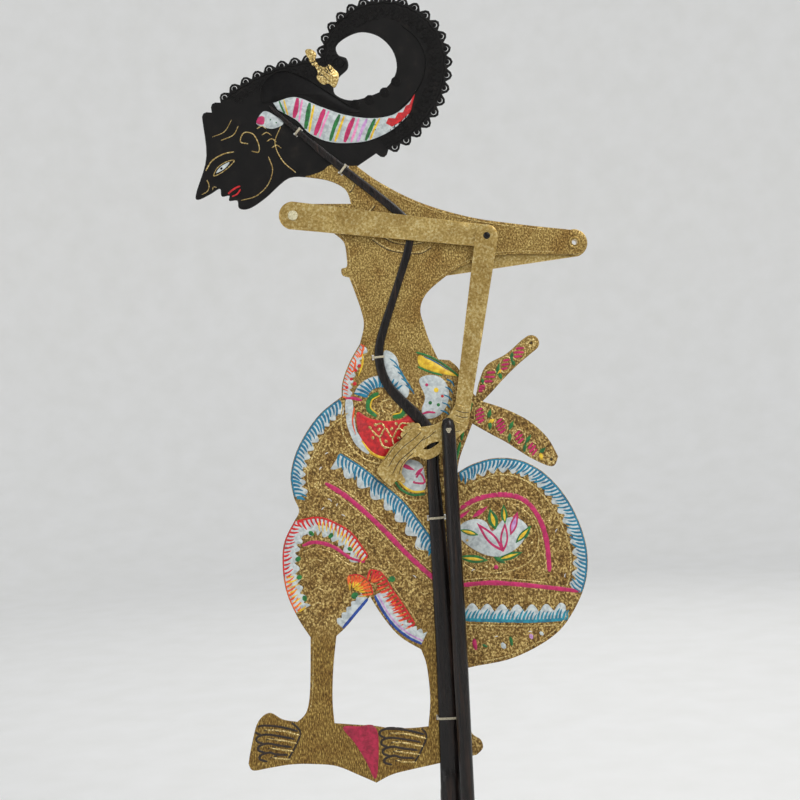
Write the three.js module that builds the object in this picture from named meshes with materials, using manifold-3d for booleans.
// Flat rod puppet: a pierced leather figure clamped in a split spine rod, with two jointed arms that are
// moved by thin rods. Millimetres. The figure is drawn in x (right) and y (up) with z towards the viewer,
// and a group stands it up, so that in the finished part +Z is up and the viewer looks along +Y.
import * as THREE from "three";
import { mergeVertices } from "three/addons/utils/BufferGeometryUtils.js";
import Module from "manifold-3d";

const wasm = await Module();
wasm.setup();

// ---- driving dimensions ----
const FIGURE_TALL = 488; // sole to the top of the hair loop
const FIGURE_WIDE = 252; // nose tip to the rear shoulder
const SHEET = 1.6; // leather of the body
const ARM_SHEET = 1.4; // leather of the arms
const GAP = 0.3; // between pieces that touch

const HANDLE_BELOW = 167; // spine rod below the sole
const HANDLE_WIDE = 13.6;
const HANDLE_DEEP = 12.4;
const HANDLE_ABOVE = 6; // round part of the handle above the sole
const SLOT_BELOW = 3; // the slot for the body sheet starts this far below the sole
const TIP_WIDE = 5; // the handle's blunt lower end
const LEG_THIN = 1.2; // one leg of the spine rod, where the upper arms pass over it
const LEG_THICK = 2.4; // the same, lower down

const UPPER_ARM = 120; // shoulder pivot to elbow pivot
const UPPER_ARM_WIDE = 17.4; // at the shoulder
const ELBOW_WIDE = 14; // strip width at the elbow
const FOREARM = 118; // elbow pivot to wrist
const WRIST_WIDE = 9.5;
const FRONT_ARM_TURN = -9; // degrees above the horizontal, pointing to the rear
const FRONT_FOREARM_TURN = -10.6; // degrees from hanging straight
const REAR_ARM_TURN = 186.2;
const REAR_FOREARM_TURN = 16;

const SHANK = 2.2; // rivet diameter
const HEAD = 0.6; // rivet head and washer thickness
const SHOULDER_HEAD_WIDE = 6.2;
const ELBOW_HEAD_WIDE = 4.2;
const EYELET_BORE = 3.4;
const EYELET_WALL = 0.5;
const EYELET_RIM_WIDE = 6.4;
const SPACER_WIDE = 9;

const ARM_ROD_LONG = 340;
const ARM_ROD_WIDE = 9.2;
const ARM_ROD_HEAD = 7.5; // rod above its thread hole
const THREAD = 1.2;
const KNOT_WIDE = 3;
const KNOT_THICK = 0.5;
const TIE = 0.5; // thickness of a thread binding
const TIE_BAND = 2.6; // its height along the spine rod

// ---- levels from the middle of the body sheet towards the viewer; the back mirrors them ----
const BODY_FACE = SHEET / 2;
const LEG_BACK = BODY_FACE + GAP;
const LEG_FACE_THIN = LEG_BACK + LEG_THIN;
const LEG_FACE_THICK = LEG_BACK + LEG_THICK;
const UPPER_ARM_BACK = LEG_FACE_THIN + GAP + Math.max(TIE, HEAD) + GAP;
const UPPER_ARM_FACE = UPPER_ARM_BACK + ARM_SHEET;
const FOREARM_BACK = Math.max(UPPER_ARM_FACE + GAP, LEG_FACE_THICK + GAP + TIE + GAP + KNOT_THICK + GAP);
const FOREARM_FACE = FOREARM_BACK + ARM_SHEET;
const ELBOW_HEAD_FACE = FOREARM_FACE + GAP + HEAD;
const ARM_ROD_BACK = Math.max(ELBOW_HEAD_FACE, HANDLE_DEEP / 2) + GAP;
const ARM_ROD_AXIS = ARM_ROD_BACK + ARM_ROD_WIDE / 2;
const ARM_ROD_FACE = ARM_ROD_AXIS + ARM_ROD_WIDE / 2;

// ---- materials ----
function finish(color, roughness, metalness) {
  return new THREE.MeshStandardMaterial({ color, roughness, metalness });
}
const GOLD = finish(0xb0924f, 0.45, 0.6);
const HORN = finish(0x17120f, 0.3, 0);
const THREAD_FINISH = finish(0xcac2ae, 0.9, 0);
const BONE = finish(0xcfc7a8, 0.5, 0);
const BRASS = finish(0xb99a55, 0.4, 0.9);

// ---- helpers ----
const DEGREE = Math.PI / 180;
const DRAWN_WIDE = 252;
const DRAWN_TALL = 488;

// A point of the figure: x from the spine rod's axis, y above the sole. It stretches with the figure.
function fig(x, y) {
  return new THREE.Vector2((x * FIGURE_WIDE) / DRAWN_WIDE, HANDLE_BELOW + (y * FIGURE_TALL) / DRAWN_TALL);
}

function figs(points) {
  return points.map(([x, y]) => fig(x, y));
}

// A flat sheet between two levels. Its holes are made to run the other way round from its outline.
function slab(drawing, back, face, curveSegments = 4) {
  const { shape: outline, holes } = drawing.extractPoints(curveSegments);
  const way = THREE.ShapeUtils.isClockWise(outline);
  const shape = new THREE.Shape(outline);
  for (const hole of holes) {
    shape.holes.push(new THREE.Path(THREE.ShapeUtils.isClockWise(hole) === way ? hole.reverse() : hole));
  }
  return new THREE.ExtrudeGeometry(shape, { depth: face - back, bevelEnabled: false }).translate(0, 0, back);
}

function circleHole(x, y, radius, sides = 20) {
  const around = Array.from({ length: sides }, (_, i) => (i * 2 * Math.PI) / sides);
  const corner = (a) => new THREE.Vector2(x + radius * Math.cos(a), y + radius * Math.sin(a));
  return new THREE.Path(around.map(corner));
}

// A solid of revolution about z from a closed or axis-to-axis profile of [radius, z] points.
function turned(profile, sides = 20) {
  const points = profile.map(([r, z]) => new THREE.Vector2(r, z));
  return new THREE.LatheGeometry(points, sides).rotateX(Math.PI / 2);
}

function toSolid(geometry) {
  const bare = geometry.clone();
  bare.deleteAttribute("normal");
  bare.deleteAttribute("uv");
  const merged = mergeVertices(bare, 1e-4);
  const mesh = new wasm.Mesh({
    numProp: 3,
    vertProperties: new Float32Array(merged.attributes.position.array),
    triVerts: new Uint32Array(merged.index.array),
  });
  return new wasm.Manifold(mesh);
}

function toGeometry(solid) {
  const mesh = solid.getMesh();
  const geometry = new THREE.BufferGeometry();
  geometry.setAttribute("position", new THREE.BufferAttribute(mesh.vertProperties, 3));
  geometry.setIndex(new THREE.BufferAttribute(mesh.triVerts, 1));
  geometry.computeVertexNormals();
  return geometry;
}

function piece(name, geometry, material, parent) {
  const mesh = new THREE.Mesh(geometry, material);
  mesh.name = name;
  parent.add(mesh);
  return mesh;
}

// ---- places ----
const FRONT_SHOULDER = fig(-79, 353);
const REAR_SHOULDER = fig(94, 328);
const SHOULDER_END = UPPER_ARM_WIDE / 2 - 0.7; // radius of the body's front shoulder, under the arm
const REAR_SHOULDER_END = 7.6;

// ---- spine rod: centre line from the tip down, with its width at each point ----
const SPINE_ROUTE = [
  [-91, 422, 1.8],
  [-54, 387, 5.0],
  [-13, 351, 5.4],
  [-7, 337, 5.0],
  [-18, 304, 4.6],
  [-30, 271, 5.4],
  [-30, 257, 5.6],
  [-25, 243, 6.0],
  [-1, 215, 7.6],
  [-1, 192, 7.6],
  [1, 111, 11.8],
  [1, 49, 12.6],
  [0, -14, 13.0],
];
const SPINE_CURVE = new THREE.SplineCurve(SPINE_ROUTE.map(([x, y]) => fig(x, y)));

function spineWidth(t) {
  const place = t * (SPINE_ROUTE.length - 1);
  const low = Math.min(Math.floor(place), SPINE_ROUTE.length - 2);
  return THREE.MathUtils.lerp(SPINE_ROUTE[low][2], SPINE_ROUTE[low + 1][2], place - low);
}

// The point of the spine rod at t, with the direction of its centre line.
function spineAt(t) {
  const ahead = SPINE_CURVE.getTangent(t);
  return { point: SPINE_CURVE.getPoint(t), angle: Math.atan2(ahead.y, ahead.x), width: spineWidth(t) };
}

function spineOutline(steps = 44) {
  const sides = [[], []];
  for (let i = 0; i <= steps; i++) {
    const { point, angle, width } = spineAt(i / steps);
    const across = new THREE.Vector2(-Math.sin(angle), Math.cos(angle)).multiplyScalar(width / 2);
    sides[0].push(point.clone().add(across));
    sides[1].push(point.clone().sub(across));
  }
  return new THREE.Shape([...sides[0], ...sides[1].reverse()]);
}

// Side view of the legs, thin above and thicker below, drawn as depth against height.
function spineSideView() {
  const low = fig(0, -30).y;
  const bend = [fig(0, 200).y, fig(0, 222).y];
  const high = fig(0, 440).y;
  const half = [
    [LEG_FACE_THICK, low],
    [LEG_FACE_THICK, bend[0]],
    [LEG_FACE_THIN, bend[1]],
    [LEG_FACE_THIN, high],
  ];
  const points = [...half, ...half.map(([z, y]) => [-z, y]).reverse()];
  const shape = new THREE.Shape(points.map(([z, y]) => new THREE.Vector2(z, y)));
  return slab(shape, -FIGURE_WIDE, FIGURE_WIDE).rotateY(-Math.PI / 2);
}

function handleSolid() {
  const top = HANDLE_BELOW + HANDLE_ABOVE;
  const r = HANDLE_WIDE / 2;
  const profile = [
    [0, 0],
    [TIP_WIDE / 2, 0],
    [TIP_WIDE / 2 + 1.2, 6],
    [r - 0.8, HANDLE_BELOW * 0.3],
    [r, HANDLE_BELOW * 0.6],
    [r, top - 16],
    [r - 0.9, top - 5],
    [r - 3, top],
    [0, top],
  ];
  const points = profile.map(([x, y]) => new THREE.Vector2(x, y));
  return new THREE.LatheGeometry(points, 28).scale(1, 1, HANDLE_DEEP / HANDLE_WIDE);
}

function spineRod() {
  const legs = toSolid(slab(spineOutline(), -HANDLE_WIDE, HANDLE_WIDE)).intersect(toSolid(spineSideView()));
  const reach = FIGURE_WIDE + FIGURE_TALL;
  const slot = new THREE.BoxGeometry(2 * reach, reach, 2 * LEG_BACK);
  slot.translate(0, HANDLE_BELOW - SLOT_BELOW + reach / 2, 0);
  return toGeometry(legs.add(toSolid(handleSolid())).subtract(toSolid(slot)));
}

// ---- thread bindings round both legs of the spine rod, by their place along it from the tip ----
const TIE_PLACES = [0.045, 0.098, 0.25, 0.455, 0.784, 0.93];

function tieFrame(t) {
  const { point, angle, width } = spineAt(t);
  const face = point.y > fig(0, 210).y ? LEG_FACE_THIN : LEG_FACE_THICK;
  return { point, turn: angle + Math.PI / 2, half: width / 2 + GAP, face: face + GAP };
}

function rectangle(halfX, halfY) {
  const corners = [[-halfX, -halfY], [halfX, -halfY], [halfX, halfY], [-halfX, halfY]];
  return corners.map(([x, y]) => new THREE.Vector2(x, y));
}

function tieRing({ half, face }) {
  const ring = new THREE.Shape(rectangle(half + TIE, face + TIE));
  ring.holes.push(new THREE.Path(rectangle(half, face)));
  return slab(ring, -TIE_BAND / 2, TIE_BAND / 2).rotateX(Math.PI / 2);
}

// The two slots in the body sheet that one binding passes through.
function tieSlots(t) {
  const { point, turn, half } = tieFrame(t);
  const slot = rectangle(TIE / 2 + GAP, TIE_BAND / 2 + GAP);
  return [-1, 1].map((side) => {
    const middle = new THREE.Vector2(side * (half + TIE / 2), 0);
    const corners = slot.map((corner) => corner.clone().add(middle).rotateAround(new THREE.Vector2(), turn));
    return new THREE.Path(corners.map((corner) => corner.add(point)));
  });
}

// ---- body sheet ----

// Half-round lobes of nearly equal pitch along a curve, bulging to its left.
function scallops(shape, curve, pitch, bulge) {
  const count = Math.round(curve.getLength() / pitch);
  const stops = curve.getSpacedPoints(count);
  for (let i = 1; i <= count; i++) {
    const [from, to] = [stops[i - 1], stops[i]];
    const along = to.clone().sub(from).normalize();
    const control = from.clone().add(to).multiplyScalar(0.5);
    control.add(new THREE.Vector2(-along.y, along.x).multiplyScalar(2 * bulge));
    shape.quadraticCurveTo(control.x, control.y, to.x, to.y);
  }
}

// Outer edge of the hair loop: a circle that opens into a spiral down to the nape.
const LOOP_MIDDLE = [-18, 445];
const LOOP_RADIUS = 39;
const LOOP_OPENS = 20; // added to the radius by the end at the nape
const [LOOP_START, LOOP_END] = [172, -106]; // degrees, running clockwise

function loopEdge() {
  const points = [];
  for (let angle = LOOP_START; angle >= LOOP_END; angle -= 10) {
    const opening = Math.min(0, angle) / LOOP_END;
    const r = LOOP_RADIUS + LOOP_OPENS * opening * opening;
    const [c, s] = [Math.cos(angle * DEGREE), Math.sin(angle * DEGREE)];
    points.push([LOOP_MIDDLE[0] + r * c, LOOP_MIDDLE[1] + r * s]);
  }
  return new THREE.SplineCurve(figs(points));
}

// The face in profile, in a frame of its own: x forward, y up, tilted down and forward on the neck.
const FACE_MIDDLE = [-105, 393];
const FACE_TILT = 35;
const FACE_PROFILE = [
  [-10, -27], [8, -28], [20, -27], [25, -23], [23, -18.5], [27, -15.5], [25, -13], [29, -10.5],
  [27, -6], [34, -5], [42, -3], [40, 1], [22, 14], [10, 33],
];

function faceEdge() {
  const [c, s] = [Math.cos(FACE_TILT * DEGREE), Math.sin(FACE_TILT * DEGREE)];
  const [x, y] = FACE_MIDDLE;
  return figs(FACE_PROFILE.map(([f, u]) => [x - f * c - u * s, y - f * s + u * c]));
}

function outlineHead(shape) {
  shape.lineTo(...fig(-43, 359).toArray());
  shape.splineThru(figs([[-46, 368], [-56, 374], [-70, 377]]));
  shape.splineThru(faceEdge());
  const hairline = new THREE.SplineCurve([
    shape.currentPoint.clone(),
    ...figs([[-123, 423], [-113, 433], [-101, 439], [-88, 445], [-74, 448], [-61, 450]]),
  ]);
  scallops(shape, hairline, 8.2, 3.4);
  const loop = loopEdge();
  shape.lineTo(loop.points[0].x, loop.points[0].y);
  scallops(shape, loop, 8.2, 3.8);
}

function outlineRearShoulder(shape) {
  shape.lineTo(...fig(-38, 382).toArray());
  shape.splineThru(figs([[-24, 371], [0, 357.5], [30, 347], [60, 341], [88, 336.5]]));
  shape.absarc(REAR_SHOULDER.x, REAR_SHOULDER.y, REAR_SHOULDER_END, 70 * DEGREE, -90 * DEGREE, true);
  shape.splineThru(figs([
    [75, 321.5], [56, 322.5], [40, 321.5], [22, 316], [9, 308], [0, 300], [-3.5, 291], [-1.5, 281],
  ]));
  shape.splineThru(figs([[1, 272], [6, 260]]));
}

function outlineTail(shape) {
  shape.lineTo(...fig(13, 259).toArray());
  shape.splineThru(figs([[18, 254], [20, 248], [24, 241], [28, 236]]));
  shape.splineThru(figs([[31, 246], [36, 255], [48, 261], [58, 269]]));
  shape.absarc(...fig(64, 267).toArray(), 5, 130 * DEGREE, -60 * DEGREE, true);
  shape.splineThru(figs([[55, 254], [45, 245], [38, 238], [32, 232.5]]));
  shape.splineThru(figs([[46, 227], [60, 219], [71, 208], [77, 196]]));
  shape.splineThru(figs([[73, 190], [60, 196], [46, 206], [36, 212], [25, 219]]));
  shape.splineThru(figs([[21, 210], [16, 198], [14, 189]]));
}

function outlineDrape(shape) {
  shape.splineThru(figs([
    [24, 194], [38, 197], [53, 195], [67, 187], [79, 173], [87, 157], [91.5, 140], [91.5, 125], [88, 112],
    [81, 99], [72, 88], [58, 79], [40, 72], [20, 69],
  ]));
  shape.lineTo(...fig(14, 68).toArray());
}

function outlineBase(shape) {
  shape.splineThru(figs([[13, 50], [13, 34]]));
  shape.splineThru(figs([[15, 27], [20, 23], [21, 18], [17, 14]]));
  shape.splineThru(figs([[2, 11.5], [-12, 9], [-24, 7], [-36, 4.5], [-46, 0]]));
  shape.splineThru(figs([
    [-56, 5], [-70, 11.5], [-84, 13.5], [-98, 14], [-112, 12.5], [-122, 11.5], [-124.5, 16],
  ]));
  shape.splineThru(figs([[-122, 27], [-117.5, 41], [-110, 46.5], [-102, 42], [-93, 40]]));
  shape.splineThru(figs([[-87, 46], [-84, 60], [-82, 92]]));
}

function outlineHip(shape) {
  shape.splineThru(figs([[-89, 104], [-95, 119], [-97, 134], [-95.5, 151], [-88, 165]]));
  shape.splineThru(figs([[-85, 171], [-88, 180], [-89, 194], [-83, 211], [-70, 229], [-55, 240]]));
  shape.splineThru(figs([[-54, 249], [-49, 261], [-42, 272]]));
  shape.splineThru(figs([[-39, 283], [-40, 292], [-44, 306], [-46.5, 313.5]]));
  shape.splineThru(figs([[-50.5, 315], [-51, 319], [-47.5, 320.5], [-47.5, 329]]));
  shape.splineThru(figs([[-49, 336], [-56, 342.5]]));
}

function legWindow() {
  const [first, ...rest] = figs([[-70, 38], [-70.5, 52], [-69, 72], [-66, 92]]);
  const window = new THREE.Path().moveTo(first.x, first.y);
  window.splineThru(rest);
  window.splineThru(figs([[-59, 98], [-51, 107], [-44, 115.5]]));
  window.splineThru(figs([[-37, 103], [-27, 90], [-14, 81]]));
  window.splineThru(figs([[-11, 70], [-10, 50], [-12, 33]]));
  window.splineThru(figs([[-22, 32.5], [-35, 33], [-45, 35], [-58, 36.5]]));
  window.closePath();
  return window;
}

function loopHole() {
  const [first, ...rest] = figs([
    [-50, 433], [-46, 438], [-40.5, 443], [-41, 449], [-46, 451.5], [-47, 457], [-41, 462], [-31, 465],
    [-20, 461.5], [-12, 452], [-10.5, 440], [-17, 430], [-28, 425], [-40, 423], [-49, 427],
  ]);
  const hole = new THREE.Path().moveTo(first.x, first.y);
  hole.splineThru([...rest, first]);
  return hole;
}

function bodySheet() {
  const shape = new THREE.Shape();
  shape.absarc(FRONT_SHOULDER.x, FRONT_SHOULDER.y, SHOULDER_END, -100 * DEGREE, -260 * DEGREE, true);
  outlineHead(shape);
  outlineRearShoulder(shape);
  outlineTail(shape);
  outlineDrape(shape);
  outlineBase(shape);
  outlineHip(shape);
  shape.holes.push(legWindow(), loopHole());
  shape.holes.push(circleHole(FRONT_SHOULDER.x, FRONT_SHOULDER.y, SHANK / 2 + GAP));
  shape.holes.push(circleHole(REAR_SHOULDER.x, REAR_SHOULDER.y, EYELET_BORE / 2 + EYELET_WALL + GAP));
  for (const t of TIE_PLACES) shape.holes.push(...tieSlots(t));
  return slab(shape, -BODY_FACE, BODY_FACE, 4);
}

// ---- arms ----

// A strip from its pivot at the origin along +x, with round ends and a hole at each pivot.
function upperArm(shoulderHole) {
  const shape = new THREE.Shape();
  shape.absarc(0, 0, UPPER_ARM_WIDE / 2, 100 * DEGREE, 260 * DEGREE, false);
  shape.absarc(UPPER_ARM, 0, ELBOW_WIDE / 2, -80 * DEGREE, 80 * DEGREE, false);
  shape.closePath();
  shape.holes.push(circleHole(0, 0, shoulderHole), circleHole(UPPER_ARM, 0, SHANK / 2 + GAP));
  return slab(shape, UPPER_ARM_BACK, UPPER_ARM_FACE, 10);
}

// The rod's thread passes through the hand here, left of the wrist.
const ROD_HOLE = new THREE.Vector2(-7.8, -FOREARM - 3.5);

// A forearm that hangs along -y from the elbow at the origin, with the hand bent to the left. The hand is
// drawn from the wrist, so that it moves with the forearm's length.
function forearm() {
  const wrist = (x, y) => new THREE.Vector2(x, y - FOREARM);
  const wrists = (points) => points.map(([x, y]) => wrist(x, y));
  const r = ELBOW_WIDE / 2;
  const shape = new THREE.Shape();
  shape.absarc(0, 0, r, 175 * DEGREE, 5 * DEGREE, true);
  shape.lineTo(...wrist(WRIST_WIDE / 2 - 0.4, 10).toArray());
  shape.splineThru(wrists([[3.8, -0.5], [0.4, -5.5], [-5, -12]]));
  shape.splineThru(wrists([[-9.5, -17.5], [-14, -21.5], [-19, -23.6], [-24, -22.2]]));
  shape.splineThru(wrists([[-29, -24.5], [-32, -29], [-32.5, -34]]));
  shape.splineThru(wrists([[-29.5, -38], [-31, -40], [-34.5, -38.5], [-38, -42.5], [-41.5, -41]]));
  shape.splineThru(wrists([[-46, -37], [-47.5, -33], [-44.5, -27], [-41, -19], [-35, -12.5]]));
  const cuff = new THREE.SplineCurve(wrists([[-35, -12.5], [-34.5, -6], [-29, -2.6], [-24.5, -4]]));
  scallops(shape, cuff, 4.6, 1.4);
  shape.splineThru(wrists([[-18, -2], [-12, 1.5], [-8, 6], [-WRIST_WIDE / 2 - 0.6, 13]]));
  shape.closePath();
  const slit = new THREE.Path().moveTo(...wrist(-21.5, -17.5).toArray());
  slit.splineThru(wrists([[-17, -16.5], [-11.8, -11.5], [-17, -13.2], [-21.5, -17.5]]));
  const pivot = circleHole(0, 0, SHANK / 2 + GAP);
  shape.holes.push(slit, pivot, circleHole(ROD_HOLE.x, ROD_HOLE.y, THREAD / 2 + GAP));
  return slab(shape, FOREARM_BACK, FOREARM_FACE, 3);
}

// A rivet from back to face with its head at the face; the far end is flush with the washer's back.
function rivet(back, face, headWide) {
  const [r, head, shoulder] = [SHANK / 2, headWide / 2, face - HEAD];
  return turned([[0, back], [r, back], [r, shoulder], [head, shoulder], [head - 0.3, face], [0, face]]);
}

function washer(back, bore, wide) {
  const [inner, outer] = [bore / 2 + GAP, wide / 2];
  return turned([[inner, back], [outer, back], [outer, back + HEAD], [inner, back + HEAD], [inner, back]]);
}

function spacer(bore) {
  const [inner, outer] = [bore / 2 + GAP, SPACER_WIDE / 2];
  const [back, face] = [BODY_FACE + GAP, UPPER_ARM_BACK - GAP];
  return turned([[inner, back], [outer, back], [outer, face], [inner, face], [inner, back]]);
}

function eyelet(back, face) {
  const [bore, barrel, rim] = [EYELET_BORE / 2, EYELET_BORE / 2 + EYELET_WALL, EYELET_RIM_WIDE / 2];
  const under = face - HEAD;
  return turned([
    [bore, back], [barrel, back], [barrel, under], [rim, under], [rim - 0.3, face], [bore, face],
    [bore, back],
  ]);
}

// ---- arm rods ----
function armRod() {
  const r = ARM_ROD_WIDE / 2;
  const low = ARM_ROD_HEAD - ARM_ROD_LONG;
  const profile = [
    [0, low], [r - 2.6, low + 1.2], [r - 1.4, low + 10], [r - 0.4, low + 90], [r, low + 190],
    [r - 0.3, ARM_ROD_HEAD - 5], [r - 1.4, ARM_ROD_HEAD - 1.5],
    [r - 3, ARM_ROD_HEAD - 0.2], [0, ARM_ROD_HEAD],
  ];
  const rod = new THREE.LatheGeometry(profile.map(([x, y]) => new THREE.Vector2(x, y)), 20);
  const hole = new THREE.CylinderGeometry(THREAD / 2 + GAP, THREAD / 2 + GAP, 2 * ARM_ROD_WIDE, 10);
  return toGeometry(toSolid(rod).subtract(toSolid(hole.rotateX(Math.PI / 2)))).translate(0, 0, ARM_ROD_AXIS);
}

// The thread through hand and rod, with a knot behind the hand and one in front of the rod.
function rodThread() {
  const [r, knot] = [THREAD / 2, KNOT_WIDE / 2];
  const back = FOREARM_BACK - GAP - KNOT_THICK;
  const front = ARM_ROD_FACE + GAP;
  return turned([
    [0, back], [knot, back], [knot, back + KNOT_THICK], [r, back + KNOT_THICK], [r, front], [knot, front],
    [knot, front + KNOT_THICK], [knot * 0.6, front + 2 * KNOT_THICK], [0, front + 2 * KNOT_THICK],
  ], 12);
}

// ---- assembly ----
const puppet = new THREE.Group();
const figure = new THREE.Group();
figure.rotation.x = Math.PI / 2;
puppet.add(figure);

piece("body_panel", bodySheet(), GOLD, figure);
piece("spine_rod", spineRod(), HORN, figure);
TIE_PLACES.forEach((t, i) => {
  const frame = tieFrame(t);
  const tie = piece(`spine_tie_${i + 1}`, tieRing(frame), THREAD_FINISH, figure);
  tie.position.set(frame.point.x, frame.point.y, 0);
  tie.rotation.z = frame.turn;
});

// An arm side is drawn as seen from its own face; the rear arm is the same drawing turned to the back by
// a mirror in z, made on the geometry so that every mesh keeps a plain position and rotation.
function toSide(geometry, side) {
  if (side === "front") return geometry;
  const mirrored = geometry.index ? geometry.toNonIndexed() : geometry.clone();
  mirrored.scale(1, 1, -1);
  const p = mirrored.attributes.position.array;
  for (let i = 0; i < p.length; i += 9) {
    for (let k = 0; k < 3; k++) [p[i + 3 + k], p[i + 6 + k]] = [p[i + 6 + k], p[i + 3 + k]];
  }
  mirrored.deleteAttribute("uv");
  mirrored.computeVertexNormals();
  return mirrored;
}

function addArm(side, shoulder, armTurn, forearmTurn, shoulderPieces, shoulderHole) {
  const put = (name, geometry, material, parent) =>
    piece(`${side}_${name}`, toSide(geometry, side), material, parent);
  const arm = new THREE.Group();
  arm.position.set(shoulder.x, shoulder.y, 0);
  arm.rotation.z = armTurn * DEGREE;
  figure.add(arm);
  shoulderPieces(put, arm);
  put("upper_arm", upperArm(shoulderHole), GOLD, arm);

  const elbow = new THREE.Group();
  elbow.position.x = UPPER_ARM;
  elbow.rotation.z = (forearmTurn - armTurn) * DEGREE;
  arm.add(elbow);
  const elbowBack = UPPER_ARM_BACK - GAP - HEAD;
  put("elbow_rivet", rivet(elbowBack, ELBOW_HEAD_FACE, ELBOW_HEAD_WIDE), HORN, elbow);
  put("elbow_washer", washer(elbowBack, SHANK, ELBOW_HEAD_WIDE + 0.8), HORN, elbow);
  put("forearm", forearm(), GOLD, elbow);

  const grip = new THREE.Group();
  grip.position.set(ROD_HOLE.x, ROD_HOLE.y, 0);
  grip.rotation.z = -forearmTurn * DEGREE;
  elbow.add(grip);
  put("rod_thread", rodThread(), THREAD_FINISH, grip);
  put("arm_rod", armRod(), HORN, grip);
}

const SHOULDER_BACK = -(BODY_FACE + GAP + HEAD);
const SHOULDER_FACE = UPPER_ARM_FACE + GAP + HEAD;

function frontShoulderPieces(put, parent) {
  put("shoulder_rivet", rivet(SHOULDER_BACK, SHOULDER_FACE, SHOULDER_HEAD_WIDE), BONE, parent);
  put("shoulder_washer", washer(SHOULDER_BACK, SHANK, SHOULDER_HEAD_WIDE), BONE, parent);
  put("shoulder_spacer", spacer(SHANK), GOLD, parent);
}

// The rear arm is seen from behind here, so the eyelet's rim is on the far side of the arm and its washer
// lies on the front face of the body.
function rearShoulderPieces(put, parent) {
  const barrel = EYELET_BORE + 2 * EYELET_WALL;
  put("shoulder_eyelet", eyelet(SHOULDER_BACK, SHOULDER_FACE), BRASS, parent);
  put("shoulder_washer", washer(SHOULDER_BACK, barrel, EYELET_RIM_WIDE + 1), BRASS, parent);
  put("shoulder_spacer", spacer(barrel), GOLD, parent);
}

addArm("front", FRONT_SHOULDER, FRONT_ARM_TURN, FRONT_FOREARM_TURN, frontShoulderPieces, SHANK / 2 + GAP);
addArm("rear", REAR_SHOULDER, REAR_ARM_TURN, REAR_FOREARM_TURN, rearShoulderPieces,
  EYELET_BORE / 2 + EYELET_WALL + GAP);

export default puppet;
